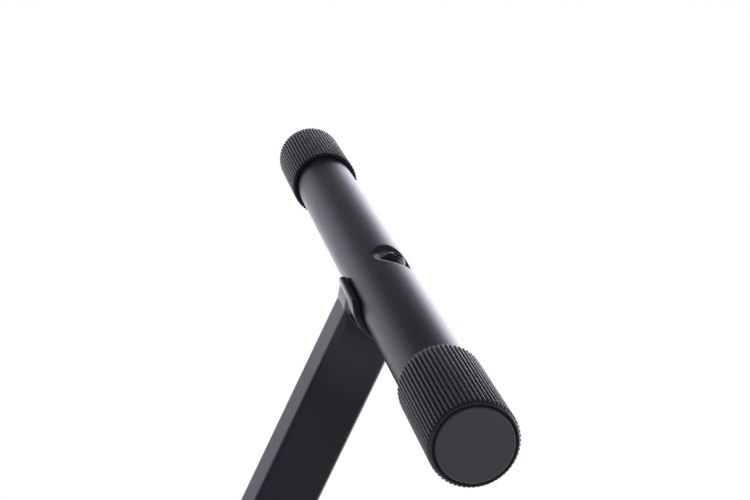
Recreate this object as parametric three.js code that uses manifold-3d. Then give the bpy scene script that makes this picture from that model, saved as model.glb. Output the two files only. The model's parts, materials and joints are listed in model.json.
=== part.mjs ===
// Folding X stand for a keyboard: two rectangular legs crossed on a toothed clutch,
// a round support arm on the top end of each leg and a round foot on the bottom end.
// Millimetres, +Z up. X runs across the stand, Y runs along the arms, and -Y is the front.
// The origin is on the floor, under the middle of the stand. The clutch is drawn released.

import * as THREE from "three";
import { mergeVertices } from "three/addons/utils/BufferGeometryUtils.js";
import Module from "manifold-3d";

const wasm = await Module();
wasm.setup();

// ---------------------------------------------------------------- driving dimensions

const DEGREE = Math.PI / 180;
const SEAT_GAP = 0.3; // left between two pieces that touch

// legs
const LEG_LENGTH = 980; // from the arm's axis to the foot's axis
const LEG_SLANT = 25.42 * DEGREE; // away from upright
const LEG_WIDTH = 30;
const LEG_DEPTH = 25; // along Y
const LEG_WALL = 2;
const LEG_CORNER = 3;
const LEG_SPACING = 49.8; // between the two legs' centre planes
const LEG_COPE_R = 22.3; // of the hollow cut into each end to clear the saddle

// arms and feet
const TUBE_R = 16;
const TUBE_WALL = 1.5;
const ARM_LENGTH = 436; // over the end caps
const FOOT_LENGTH = 480;

// ribbed end caps
const CAP_R = 18.7; // over the rib crests
const CAP_LENGTH = 62;
const CAP_FLOOR = 4; // rubber in front of the tube's end
const RIB_COUNT = 60;
const RIB_DEPTH = 0.6;
const CAP_RIM = 2.6; // length from the ribs' end to the end disc's face
const CAP_RING_R = 17.2; // of the smooth ring round the end disc
const CAP_DISC_R = 15.8;
const CAP_DISC_STEP = 1; // the end disc stands this far out of the ring

// pressed dimple and the bolt sunk in it
const DIMPLE_R = 12.4; // where it runs out at the tube's crown
const DIMPLE_FLOOR_R = 7.4;
const DIMPLE_DEPTH = 5;
const BOLT_R = 4;
const BOLT_HEAD_R = 6.5;
const BOLT_HEAD_HEIGHT = 4;
const SOCKET_R = 2.9; // across the corners
const SOCKET_DEPTH = 2.4;
const BOLT_END = 53; // below the tube's axis

// moulded saddle between a leg and its arm or foot
const SADDLE_R = 19.8;
const SADDLE_WRAP = 70 * DEGREE; // each side of the leg's direction
const SADDLE_FRONT = 33; // from the leg's middle to the end that stands out past the leg
const SADDLE_REAR = LEG_DEPTH / 2; // the other end is flush with the leg's inner face
const SADDLE_CORNER = 10;
const SADDLE_REAR_CORNER = 6.5;
const SADDLE_FLARE = 7.5; // from the tube's axis down to the top of the flare
const SPIGOT_END = 43.5; // from the tube's axis down to the end inside the leg

// weld nut on its plate inside the leg's end
const NUT_PLATE = 3;
const NUT_HEIGHT = 6.5;
const NUT_ACROSS_CORNERS = 15;

// clutch
const DISC_R = 31;
const TOOTH_INNER_R = 17;
const TOOTH_COUNT = 24;
const TOOTH_HEIGHT = 2.8;
const TOOTH_ROOT_HALF = 5.6 * DEGREE; // half the angle that a tooth fills at its root
const TOOTH_TIP_HALF = 1.9 * DEGREE;
const TIP_GAP = 0.5; // between the two sets of tooth tips while the clutch is released
const SPRING_POCKET_R = 12;
const SPRING_POCKET_DEPTH = 5;
const SPRING_R = 9.2; // middle of the wire
const SPRING_WIRE = 1.8;
const SPRING_TURNS = 4;

// pivot
const PIVOT_R = 5;
const PIVOT_BORE_R = 5.4;
const PIVOT_HEAD_R = 12;
const PIVOT_HEAD_HEIGHT = 5;
const PIVOT_NECK = 10; // side of the square neck
const PIVOT_END = 56; // from the middle of the stand to the threaded end
const SLEEVE_R = 9;
const WASHER_R = 17;
const WASHER_THICKNESS = 2.5;

// hand knob
const KNOB_R = 28; // middle radius of the lobed grip
const KNOB_LOBE = 3.5;
const KNOB_LOBES = 6;
const KNOB_GRIP = 15; // thickness of the grip
const KNOB_BEVEL = 3;
const KNOB_HUB_R = 15;
const KNOB_HUB = 8;
const KNOB_BORE = 22;
const INSERT_R = 8;
const INSERT_LENGTH = 16;

// facets round the circles
const TUBE_FACETS = 24;
const COPE_FACETS = 36;
const SMALL_FACETS = 16;
const DIMPLE_FACETS = 14;
const BOLT_FACETS = 12;

// worked out from the above
const LEG_Y = LEG_SPACING / 2;
const LEG_INNER_FACE = LEG_Y - LEG_DEPTH / 2;
const LEG_OUTER_FACE = LEG_Y + LEG_DEPTH / 2;
const TUBE_BORE_R = TUBE_R - TUBE_WALL;
const SADDLE_BED_R = TUBE_R + SEAT_GAP;
const SADDLE_NECK_R = LEG_COPE_R - SEAT_GAP;
const LEG_END = Math.sqrt(LEG_COPE_R ** 2 - (LEG_WIDTH / 2) ** 2);
const PIVOT_HEIGHT = CAP_R + (LEG_LENGTH / 2) * Math.cos(LEG_SLANT);
const TOOTH_PITCH = (2 * Math.PI) / TOOTH_COUNT;
const DISC_BACK = LEG_INNER_FACE - SEAT_GAP;
const DISC_ROOT = TIP_GAP / 2 + TOOTH_HEIGHT;
const DISC_BODY = DISC_BACK - DISC_ROOT;

// ---------------------------------------------------------------- finishes

const finish = (color, roughness, metalness) =>
  new THREE.MeshStandardMaterial({ color, roughness, metalness });

const POWDER_COAT = finish(0x221f23, 0.34, 0.0);
const RUBBER = finish(0x3b363c, 0.6, 0.0);
const MOULDED_BLACK = finish(0x1d1b1f, 0.35, 0.0);
const DARK_STEEL = finish(0x3a3735, 0.4, 0.9);
const ZINC = finish(0xa9a8a3, 0.35, 0.9);
const CAST_STEEL = finish(0x55565a, 0.5, 0.85);
const BRASS = finish(0xb08d4a, 0.35, 0.9);

// ---------------------------------------------------------------- solids

// A closed geometry as a solid that can be joined and cut.
function solid(geometry) {
  const bare = geometry.index ? geometry.clone() : geometry;
  bare.deleteAttribute("normal");
  bare.deleteAttribute("uv");
  const merged = mergeVertices(bare, 1e-4);
  return new wasm.Manifold(
    new wasm.Mesh({
      numProp: 3,
      vertProperties: merged.attributes.position.array,
      triVerts: new Uint32Array(merged.index.array),
    }),
  );
}

// A joined or cut solid as geometry again.
function geometryOf(made) {
  const mesh = made.getMesh();
  const geometry = new THREE.BufferGeometry();
  geometry.setAttribute("position", new THREE.BufferAttribute(mesh.vertProperties, 3));
  geometry.setIndex(new THREE.BufferAttribute(mesh.triVerts, 1));
  geometry.computeVertexNormals();
  return geometry;
}

// A profile of [radius, height] points turned about Y, or about Z.
function turned(profile, segments, axis = "y") {
  const points = profile.map(([radius, height]) => new THREE.Vector2(radius, height));
  const geometry = new THREE.LatheGeometry(points, segments);
  return axis === "z" ? geometry.rotateX(Math.PI / 2) : geometry;
}

// A solid bar of the given radius between two heights on its axis.
function bar(radius, low, high, segments, axis = "y") {
  const profile = [
    [0, low],
    [radius, low],
    [radius, high],
    [0, high],
  ];
  return turned(profile, segments, axis);
}

// A sleeve between two heights on its axis.
function sleeve(inner, outer, low, high, segments, axis = "y") {
  const profile = [
    [inner, low],
    [outer, low],
    [outer, high],
    [inner, high],
    [inner, low],
  ];
  return turned(profile, segments, axis);
}

// A shape drawn in X and Y, carried up Z between two heights.
function raised(shape, low, high, curveSegments = 6) {
  const settings = { depth: high - low, bevelEnabled: false, curveSegments };
  return new THREE.ExtrudeGeometry(shape, settings).translate(0, 0, low);
}

// A shape drawn in X and Z, carried along Y by half its depth each way.
function across(shape, depth, curveSegments = 6) {
  return raised(shape, -depth / 2, depth / 2, curveSegments).rotateX(Math.PI / 2);
}

// A rectangle about the origin with rounded corners.
function roundedRectangle(width, height, corner, Kind = THREE.Shape) {
  const x = width / 2 - corner;
  const y = height / 2 - corner;
  const shape = new Kind();
  shape.absarc(x, -y, corner, -Math.PI / 2, 0);
  shape.absarc(x, y, corner, 0, Math.PI / 2);
  shape.absarc(-x, y, corner, Math.PI / 2, Math.PI);
  shape.absarc(-x, -y, corner, Math.PI, 1.5 * Math.PI);
  shape.closePath();
  return shape;
}

// A closed outline from a function that gives the radius at each of several even angles.
function polarShape(count, radiusAt) {
  const points = Array.from({ length: count }, (_, i) => {
    const angle = (2 * Math.PI * i) / count;
    const radius = radiusAt(i, angle);
    return new THREE.Vector2(radius * Math.sin(angle), radius * Math.cos(angle));
  });
  return new THREE.Shape(points.reverse());
}

// ---------------------------------------------------------------- arms, feet and caps

// A round tube along Y with a dimple pressed into its crown (+Z) at y = 0, which is
// where the leg meets it, and the bolt's holes through the dimple and the far wall.
function dimpledTube(frontEnd, rearEnd) {
  const floor = TUBE_R - DIMPLE_DEPTH;
  const above = TUBE_R + 1;
  const slope = (DIMPLE_R - DIMPLE_FLOOR_R) / DIMPLE_DEPTH;
  const dimple = [
    [0, floor],
    [DIMPLE_FLOOR_R, floor],
    [DIMPLE_R + slope, above],
    [0, above],
  ];
  const cup = dimple.map(([radius, height], i) => [
    radius && radius + TUBE_WALL,
    i < 2 ? height - TUBE_WALL : height,
  ]);
  const round = solid(bar(TUBE_R, frontEnd, rearEnd, TUBE_FACETS));
  const wall = solid(sleeve(TUBE_BORE_R, TUBE_R, frontEnd, rearEnd, TUBE_FACETS));
  const pressed = wall.add(solid(turned(cup, DIMPLE_FACETS, "z")).intersect(round));
  const hole = bar(BOLT_R + SEAT_GAP, -above, above, BOLT_FACETS, "z");
  const hollow = solid(turned(dimple, DIMPLE_FACETS, "z"));
  return geometryOf(pressed.subtract(hollow).subtract(solid(hole)));
}

// A push-on cap with straight ribs. Its closed end faces +Y and its tube comes in from -Y.
function ribbedCap() {
  const ribs = polarShape(2 * RIB_COUNT, (i) => CAP_R - (i % 2) * RIB_DEPTH);
  const barrel = solid(across(ribs, CAP_LENGTH - CAP_RIM)).translate([
    0,
    -(CAP_LENGTH + CAP_RIM) / 2,
    0,
  ]);
  const rim = [
    [0, -CAP_RIM - 1],
    [CAP_R - RIB_DEPTH, -CAP_RIM - 1],
    [CAP_R - RIB_DEPTH, -CAP_RIM],
    [CAP_RING_R, -CAP_DISC_STEP],
    [CAP_DISC_R, -CAP_DISC_STEP],
    [CAP_DISC_R, 0],
    [0, 0],
  ];
  const socket = bar(TUBE_R + SEAT_GAP, -CAP_LENGTH - 1, -CAP_FLOOR, TUBE_FACETS);
  return geometryOf(barrel.add(solid(turned(rim, SMALL_FACETS))).subtract(solid(socket)));
}

// A domed bolt along Z. Its head sits on the dimple's floor and its shank points down.
function domedBolt() {
  const seat = TUBE_R - DIMPLE_DEPTH + SEAT_GAP;
  const crown = seat + BOLT_HEAD_HEIGHT;
  const profile = [
    [0, -BOLT_END],
    [BOLT_R - 0.8, -BOLT_END],
    [BOLT_R, -BOLT_END + 0.8],
    [BOLT_R, seat],
    [BOLT_HEAD_R, seat],
    [BOLT_HEAD_R, seat + 0.25 * BOLT_HEAD_HEIGHT],
    [0.82 * BOLT_HEAD_R, seat + 0.72 * BOLT_HEAD_HEIGHT],
    [0.5 * BOLT_HEAD_R, crown],
    [0, crown],
  ];
  const socket = bar(SOCKET_R, crown - SOCKET_DEPTH, crown + 1, 6, "z");
  return geometryOf(solid(turned(profile, BOLT_FACETS, "z")).subtract(solid(socket)));
}

// ---------------------------------------------------------------- saddles and nut plates

// The trough's outline from above: it stands out to the front (-Y) of the leg.
function troughOutline() {
  const x = SADDLE_R * Math.sin(SADDLE_WRAP);
  const front = -SADDLE_FRONT + SADDLE_CORNER;
  const rear = SADDLE_REAR - SADDLE_REAR_CORNER;
  const shape = new THREE.Shape();
  shape.absarc(x - SADDLE_CORNER, front, SADDLE_CORNER, -Math.PI / 2, 0);
  shape.absarc(x - SADDLE_REAR_CORNER, rear, SADDLE_REAR_CORNER, 0, Math.PI / 2);
  shape.absarc(-x + SADDLE_REAR_CORNER, rear, SADDLE_REAR_CORNER, Math.PI / 2, Math.PI);
  shape.absarc(-x + SADDLE_CORNER, front, SADDLE_CORNER, Math.PI, 1.5 * Math.PI);
  shape.closePath();
  return shape;
}

// The moulded piece that beds the tube along Y on the leg that hangs below it (-Z): a long
// trough round the tube, a neck that flares out from the leg, and a spigot inside the leg.
function saddle() {
  const down = -Math.PI / 2;
  const low = down - SADDLE_WRAP;
  const high = down + SADDLE_WRAP;

  const trough = new THREE.Shape();
  trough.moveTo(0, 0);
  trough.absarc(0, 0, SADDLE_R, low, high, false);
  trough.closePath();
  const plan = solid(raised(troughOutline(), -SADDLE_R - 1, 0, 3));

  const side = Math.asin(LEG_WIDTH / 2 / SADDLE_NECK_R);
  const flareX = Math.sqrt(SADDLE_R ** 2 - SADDLE_FLARE ** 2);
  const neck = new THREE.Shape();
  neck.moveTo(-flareX, -SADDLE_FLARE);
  neck.absarc(0, 0, SADDLE_NECK_R, down - side, down + side, false);
  neck.lineTo(flareX, -SADDLE_FLARE);
  neck.closePath();

  const inside = 2 * (LEG_WALL + SEAT_GAP);
  const spigot = roundedRectangle(LEG_WIDTH - inside, LEG_DEPTH - inside, 1);
  const bed = bar(SADDLE_BED_R, -2 * SADDLE_FRONT, 2 * SADDLE_FRONT, TUBE_FACETS);
  const hole = bar(BOLT_R + SEAT_GAP, -SPIGOT_END - 1, 0, BOLT_FACETS, "z");
  return geometryOf(
    solid(across(trough, 2 * SADDLE_FRONT, 12))
      .intersect(plan)
      .add(solid(across(neck, LEG_DEPTH, 6)))
      .add(solid(raised(spigot, -SPIGOT_END, -SADDLE_BED_R - 1, 1)))
      .subtract(solid(bed))
      .subtract(solid(hole)),
  );
}

// The plate welded across the leg's end with its hexagon nut below, measured from the tube.
function nutPlate() {
  const inside = 2 * (LEG_WALL + SEAT_GAP);
  const top = -SPIGOT_END - SEAT_GAP;
  const plate = roundedRectangle(LEG_WIDTH - inside, LEG_DEPTH - inside, 1);
  const bottom = top - NUT_PLATE - NUT_HEIGHT;
  const nut = bar(NUT_ACROSS_CORNERS / 2, bottom, top - NUT_PLATE, 6, "z");
  const hole = bar(BOLT_R + SEAT_GAP, bottom - 1, top + 1, BOLT_FACETS, "z");
  return geometryOf(
    solid(raised(plate, top - NUT_PLATE - 0.01, top, 1)).add(solid(nut)).subtract(solid(hole)),
  );
}

// ---------------------------------------------------------------- legs

// A rectangular tube along Z, coped at both ends, with the pivot's bore through its middle.
// A leg that holds the pivot's square neck has a square hole in its outer (-Y) wall.
function legTube(holdsNeck) {
  const section = roundedRectangle(LEG_WIDTH, LEG_DEPTH, LEG_CORNER);
  section.holes.push(
    roundedRectangle(
      LEG_WIDTH - 2 * LEG_WALL,
      LEG_DEPTH - 2 * LEG_WALL,
      LEG_CORNER - LEG_WALL,
      THREE.Path,
    ),
  );
  const half = LEG_LENGTH / 2 - LEG_END;
  let tube = solid(raised(section, -half, half, 2));
  for (const end of [-1, 1]) {
    const cope = bar(LEG_COPE_R, -LEG_DEPTH, LEG_DEPTH, COPE_FACETS);
    tube = tube.subtract(solid(cope.translate(0, 0, (end * LEG_LENGTH) / 2)));
  }
  const bore = solid(bar(PIVOT_BORE_R, holdsNeck ? 0 : -LEG_DEPTH, LEG_DEPTH, SMALL_FACETS));
  tube = tube.subtract(bore);
  if (holdsNeck) {
    const opening = PIVOT_NECK + 2 * SEAT_GAP;
    const square = new THREE.BoxGeometry(opening, LEG_DEPTH, opening);
    tube = tube.subtract(solid(square.translate(0, -LEG_DEPTH / 2, 0)));
  }
  return geometryOf(tube);
}

// The sleeve round the pivot inside a leg, which stops the leg from being crushed.
function spacerSleeve() {
  const half = LEG_DEPTH / 2 - LEG_WALL - SEAT_GAP;
  return sleeve(PIVOT_BORE_R, SLEEVE_R, -half, half, BOLT_FACETS);
}

// ---------------------------------------------------------------- clutch and pivot

// A disc with its back at y = 0 and radial teeth on its +Y face, one tooth centred on +Z.
// Inside the ring of teeth, each one runs down to the spring's pocket.
function clutchDisc() {
  const corners = [
    [-TOOTH_ROOT_HALF, 0],
    [-TOOTH_TIP_HALF, TOOTH_HEIGHT],
    [TOOTH_TIP_HALF, TOOTH_HEIGHT],
    [TOOTH_ROOT_HALF, 0],
  ];
  const count = TOOTH_COUNT * corners.length;
  const ring = (radius, heightAt) =>
    Array.from({ length: count }, (_, i) => {
      const [offset, rise] = corners[i % corners.length];
      const angle = Math.floor(i / corners.length) * TOOTH_PITCH + offset;
      return [radius * Math.sin(angle), heightAt(rise), radius * Math.cos(angle)];
    });
  const rings = [
    ring(DISC_R, () => 0),
    ring(DISC_R, (rise) => DISC_BODY + rise),
    ring(TOOTH_INNER_R, (rise) => DISC_BODY + rise),
  ];
  const positions = [...rings.flat(2), 0, 0, 0, 0, DISC_BODY, 0];
  const backCentre = rings.length * count;
  const faces = [];
  const quad = (a, b, c, d) => faces.push(a, b, c, a, c, d);
  for (let i = 0; i < count; i += 1) {
    const next = (i + 1) % count;
    const rising = i % corners.length === 0;
    faces.push(backCentre, next, i);
    for (let near = 0; near + count < backCentre; near += count) {
      const far = near + count;
      // The flanks are twisted, and are split so that both sides of a tooth are hollow.
      if (rising) quad(near + next, far + next, far + i, near + i);
      else quad(near + i, near + next, far + next, far + i);
    }
    const last = backCentre - count;
    faces.push(backCentre + 1, last + i, last + next);
  }
  const blank = new THREE.BufferGeometry();
  blank.setAttribute("position", new THREE.Float32BufferAttribute(positions, 3));
  blank.setIndex(faces);
  const floor = DISC_BODY - SPRING_POCKET_DEPTH;
  const pocket = bar(SPRING_POCKET_R, floor, DISC_BODY + TOOTH_HEIGHT, SMALL_FACETS);
  const bore = bar(PIVOT_BORE_R, -1, DISC_BODY, SMALL_FACETS);
  return geometryOf(solid(blank).subtract(solid(pocket)).subtract(solid(bore)));
}

// The helix of the spring that pushes the clutch open, round Y and centred on the origin.
class SpringLine extends THREE.Curve {
  constructor(length) {
    super();
    this.length = length;
  }

  getPoint(t, target = new THREE.Vector3()) {
    const angle = 2 * Math.PI * SPRING_TURNS * t;
    return target.set(
      SPRING_R * Math.cos(angle),
      (t - 0.5) * this.length,
      SPRING_R * Math.sin(angle),
    );
  }
}

function clutchSpring() {
  const room = 2 * (DISC_ROOT + SPRING_POCKET_DEPTH - SEAT_GAP);
  const line = new SpringLine(room - SPRING_WIRE);
  const wire = polarShape(5, () => SPRING_WIRE / 2);
  return new THREE.ExtrudeGeometry(wire, { steps: 8 * SPRING_TURNS, extrudePath: line });
}

// A cup-headed bolt along Y: the head stands in front of the front leg, the square neck sits
// in the leg's wall, and the threaded end reaches back into the knob.
function pivotBolt() {
  const seat = -LEG_OUTER_FACE - SEAT_GAP;
  const neckEnd = -LEG_OUTER_FACE + LEG_WALL;
  const profile = [
    [0, seat - PIVOT_HEAD_HEIGHT],
    [0.45 * PIVOT_HEAD_R, seat - 0.93 * PIVOT_HEAD_HEIGHT],
    [0.8 * PIVOT_HEAD_R, seat - 0.6 * PIVOT_HEAD_HEIGHT],
    [PIVOT_HEAD_R, seat - 0.12 * PIVOT_HEAD_HEIGHT],
    [PIVOT_HEAD_R, seat],
    [PIVOT_R, seat],
    [PIVOT_R, PIVOT_END - 1],
    [PIVOT_R - 1, PIVOT_END],
    [0, PIVOT_END],
  ];
  const neckLength = neckEnd - seat;
  const neck = new THREE.BoxGeometry(PIVOT_NECK, neckLength, PIVOT_NECK);
  neck.translate(0, seat + neckLength / 2 - 0.01, 0);
  return geometryOf(solid(turned(profile, SMALL_FACETS)).add(solid(neck)));
}

// ---------------------------------------------------------------- knob

// A lobed hand knob whose hub face is at y = 0 and whose grip stands away along +Y.
function handKnob() {
  const lobes = polarShape(6 * KNOB_LOBES, (_, angle) => {
    return KNOB_R - KNOB_BEVEL + KNOB_LOBE * Math.cos(KNOB_LOBES * angle);
  });
  const grip = new THREE.ExtrudeGeometry(lobes, {
    depth: KNOB_GRIP - 2 * KNOB_BEVEL,
    bevelThickness: KNOB_BEVEL,
    bevelSize: KNOB_BEVEL,
    bevelSegments: 1,
  });
  grip.translate(0, 0, -(KNOB_GRIP - KNOB_BEVEL) - KNOB_HUB).rotateX(Math.PI / 2);
  const hub = bar(KNOB_HUB_R, 0, KNOB_HUB + 1, TUBE_FACETS);
  const bore = bar(PIVOT_BORE_R, -1, KNOB_BORE, SMALL_FACETS);
  const pocket = bar(INSERT_R + SEAT_GAP, -1, INSERT_LENGTH + 2 * SEAT_GAP, SMALL_FACETS);
  return geometryOf(
    solid(grip).add(solid(hub)).subtract(solid(bore)).subtract(solid(pocket)),
  );
}

function knobInsert() {
  return sleeve(PIVOT_BORE_R, INSERT_R, SEAT_GAP, SEAT_GAP + INSERT_LENGTH, SMALL_FACETS);
}

// ---------------------------------------------------------------- assembly

function piece(name, geometry, material, position = [0, 0, 0], rotation = [0, 0, 0]) {
  const mesh = new THREE.Mesh(geometry, material);
  mesh.name = name;
  mesh.position.set(...position);
  mesh.rotation.set(...rotation);
  return mesh;
}

const CAP = ribbedCap();
const SADDLE = saddle();
const BOLT = domedBolt();
const NUT_PLATE_SHAPE = nutPlate();
const SLEEVE = spacerSleeve();
const DISC = clutchDisc();

// An arm or a foot with its caps, saddle, bolt and nut plate. The group's origin is on the
// tube's axis at the leg's centre plane, and the leg leaves it along -Z. One rib of each cap
// points straight down in the stand, which turns the caps back by the group's own turn.
function tubeEnd(tubeName, saddleName, length, legY, turn) {
  const group = new THREE.Group();
  const front = -length / 2 - legY;
  const rear = length / 2 - legY;
  const inset = CAP_FLOOR + SEAT_GAP;
  const tube = dimpledTube(front + inset, rear - inset);
  group.add(piece(`${tubeName}_tube`, tube, POWDER_COAT));
  group.add(piece(`${tubeName}_front_cap`, CAP, RUBBER, [0, front, 0], [0, turn, Math.PI]));
  group.add(piece(`${tubeName}_rear_cap`, CAP, RUBBER, [0, rear, 0], [0, -turn, 0]));
  const outwards = legY < 0 ? 0 : Math.PI; // the saddles stand out away from the other leg
  group.add(piece(saddleName, SADDLE, MOULDED_BLACK, [0, 0, 0], [0, 0, outwards]));
  group.add(piece(`${tubeName}_bolt`, BOLT, DARK_STEEL));
  group.add(piece(`${tubeName}_nut_plate`, NUT_PLATE_SHAPE, ZINC));
  return group;
}

// One leg with all that is fastened to it, about the pivot's centre.
function legAssembly(side, lean, armName, footName) {
  const front = side === "front";
  const legY = front ? -LEG_Y : LEG_Y;
  const group = new THREE.Group();
  group.rotation.y = lean;
  const tube = legTube(front);
  group.add(piece(`${side}_leg_tube`, tube, POWDER_COAT, [0, legY, 0]));
  group.add(piece(`${side}_leg_sleeve`, SLEEVE, ZINC, [0, legY, 0]));

  const arm = tubeEnd(armName, `${side}_leg_upper_saddle`, ARM_LENGTH, legY, lean);
  arm.position.set(0, legY, LEG_LENGTH / 2);
  const foot = tubeEnd(footName, `${side}_leg_lower_saddle`, FOOT_LENGTH, legY, lean + Math.PI);
  foot.position.set(0, legY, -LEG_LENGTH / 2);
  foot.rotation.y = Math.PI;
  group.add(arm, foot);

  // The rear disc is turned over, and by half a tooth from the front one.
  const mesh = 2 * LEG_SLANT + TOOTH_PITCH / 2;
  const place = front ? [0, -DISC_BACK, 0] : [0, DISC_BACK, 0];
  const turn = front ? [0, 0, 0] : [0, mesh, Math.PI];
  group.add(piece(`${side}_clutch_disc`, DISC, CAST_STEEL, place, turn));
  return group;
}

function pivotAssembly() {
  const group = new THREE.Group();
  group.rotation.y = LEG_SLANT;
  const washer = LEG_OUTER_FACE + SEAT_GAP;
  const knob = washer + WASHER_THICKNESS + SEAT_GAP;
  const ring = sleeve(PIVOT_BORE_R, WASHER_R, 0, WASHER_THICKNESS, TUBE_FACETS);
  group.add(piece("pivot_bolt", pivotBolt(), ZINC));
  group.add(piece("clutch_spring", clutchSpring(), ZINC));
  group.add(piece("thrust_washer", ring, ZINC, [0, washer, 0]));
  group.add(piece("hand_knob", handKnob(), MOULDED_BLACK, [0, knob, 0]));
  group.add(piece("knob_insert", knobInsert(), BRASS, [0, knob, 0]));
  return group;
}

const stand = new THREE.Group();
const centre = new THREE.Group();
centre.position.z = PIVOT_HEIGHT;
centre.add(legAssembly("front", LEG_SLANT, "right_arm", "left_foot"));
centre.add(legAssembly("rear", -LEG_SLANT, "left_arm", "right_foot"));
centre.add(pivotAssembly());
stand.add(centre);

export default stand;
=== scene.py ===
"""The finished surfaces of a folding X stand for a keyboard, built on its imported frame.

Each arm and foot is a round tube with a ribbed cap on both ends, held in a moulded saddle on a
rectangular leg. The two legs cross on a toothed clutch, which a hand knob closes. Lengths are in
metres, X runs across the stand, Y along the arms with -Y at the front, and Z is up.
"""

import json
import math

import bmesh
import bpy
import numpy as np
from bpy.props import FloatProperty, FloatVectorProperty, IntProperty, PointerProperty
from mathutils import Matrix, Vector


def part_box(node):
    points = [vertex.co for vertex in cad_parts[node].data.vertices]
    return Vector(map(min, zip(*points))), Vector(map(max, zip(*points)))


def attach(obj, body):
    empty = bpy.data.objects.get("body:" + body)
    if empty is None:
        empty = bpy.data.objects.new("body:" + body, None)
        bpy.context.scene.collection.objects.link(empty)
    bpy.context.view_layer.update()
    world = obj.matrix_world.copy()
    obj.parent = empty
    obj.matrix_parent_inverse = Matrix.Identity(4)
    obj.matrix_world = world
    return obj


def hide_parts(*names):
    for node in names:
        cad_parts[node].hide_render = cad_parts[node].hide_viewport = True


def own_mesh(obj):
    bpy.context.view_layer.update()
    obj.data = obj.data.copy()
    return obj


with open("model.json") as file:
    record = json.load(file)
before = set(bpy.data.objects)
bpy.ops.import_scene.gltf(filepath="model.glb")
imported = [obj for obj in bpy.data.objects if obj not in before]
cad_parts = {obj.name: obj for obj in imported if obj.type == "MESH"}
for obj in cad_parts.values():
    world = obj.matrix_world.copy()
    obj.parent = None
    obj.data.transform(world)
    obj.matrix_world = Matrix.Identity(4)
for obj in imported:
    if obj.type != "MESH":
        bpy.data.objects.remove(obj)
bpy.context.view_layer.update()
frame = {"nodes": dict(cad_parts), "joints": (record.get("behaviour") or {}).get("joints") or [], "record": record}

bl_info = {
    "name": "Folding keyboard stand",
    "version": (1, 0, 0),
    "blender": (4, 5, 0),
    "location": "3D View > Sidebar > Keyboard Stand",
    "description": "Builds the finished pieces of a folding X stand for a keyboard",
    "category": "Mesh",
}

RECORD = frame["record"]
BODY = {node: body for body, nodes in RECORD["behaviour"]["bodies"].items() for node in nodes}
SLOT = {part["node"]: part["material_slot"] for part in RECORD["subparts"]}
BASE_COLOUR = {material["slot"]: material["base_color"] for material in RECORD["materials"]}

MM = 0.001

# tube name: which leg carries it, which saddle holds it, and the tube on that leg's other end
TUBE_ENDS = {
    "right_arm": ("front", "upper", "left_foot"),
    "left_arm": ("rear", "upper", "right_foot"),
    "left_foot": ("front", "lower", "right_arm"),
    "right_foot": ("rear", "lower", "left_arm"),
}
LEG_ENDS = {"front": ("right_arm", "left_foot"), "rear": ("left_arm", "right_foot")}
HIDDEN_NODES = [f"{tube}_nut_plate" for tube in TUBE_ENDS]
HIDDEN_NODES += ["front_leg_sleeve", "rear_leg_sleeve", "knob_insert"]

# the camera, from the middle of the right arm, and its turns about X and Z
CAMERA_FROM_ARM = (-0.1524, -0.8357, 0.2845)
CAMERA_TILT = 72.075
CAMERA_TURN = -10.377
CAMERA_LENS = 86.75  # on a sensor 36 mm wide


# ---- sizes a user would change


def length(name, description, millimetres):
    """A length whose default is given in millimetres."""
    default = millimetres * MM
    return FloatProperty(
        name=name, description=description, default=default, unit="LENGTH", precision=5
    )


def angle(name, description, degrees):
    """An angle whose default is given in degrees."""
    default = math.radians(degrees)
    return FloatProperty(name=name, description=description, default=default, subtype="ANGLE")


def count(name, description, default):
    """A whole number."""
    return IntProperty(name=name, description=description, default=default, min=1)


def colour(slot):
    """The base colour of one finish, as the frame's record gives it."""
    plain = slot.replace("_", " ")
    return FloatVectorProperty(
        name=plain.capitalize(),
        description=f"Base colour of the {plain}",
        default=BASE_COLOUR[slot],
        size=3,
        subtype="COLOR",
        min=0,
        max=1,
    )


class TubeSizes(bpy.types.PropertyGroup):
    """Arms and feet, and the dimple pressed into each."""

    radius: length("Radius", "Outer radius of the tube", 16)
    wall: length("Wall", "Thickness of the tube's wall", 1.5)
    dimple: length("Dimple", "Radius at which the dimple runs out at the crown", 10.4)
    dimple_floor: length("Dimple floor", "Radius of the dimple's flat floor", 7.0)
    dimple_depth: length("Dimple depth", "Depth of the dimple under the crown", 5)
    dimple_blend: length("Dimple blend", "Reach of the pressed round at the rim", 8)
    dimple_foot: length("Dimple foot", "Reach of the round at the dimple's floor", 2)
    hole: length("Hole", "Radius of the hole for the bolt", 4.3)


class LegSizes(bpy.types.PropertyGroup):
    """The rectangular legs."""

    width: length("Width", "Width of the leg across the stand", 30)
    depth: length("Depth", "Depth of the leg along the arms", 25)
    corner: length("Corner", "Outer corner radius", 3)
    wall: length("Wall", "Thickness of the leg's wall", 2)
    cope: length("Cope", "Radius of the hollow cut into each end", 22.3)
    edge: length("Cut edge", "Round on the cut end", 0.15)


class CapSizes(bpy.types.PropertyGroup):
    """The ribbed push-on caps."""

    radius: length("Radius", "Radius over the rib crests", 18.7)
    length: length("Length", "Length of the cap", 62)
    ribs: count("Ribs", "Number of ribs round the cap", 60)
    rib_depth: length("Rib depth", "Depth of the grooves between ribs", 0.68)
    rib_end: length("Rib end", "How far behind the end face the ribs stop", 2.6)
    ring: length("Ring", "Outer radius of the smooth ring in front of the ribs", 17.9)
    disc: length("Disc", "Radius of the end disc", 15.8)
    dish: length("Dish", "Depth of the dish in the end disc", 0.3)


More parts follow.
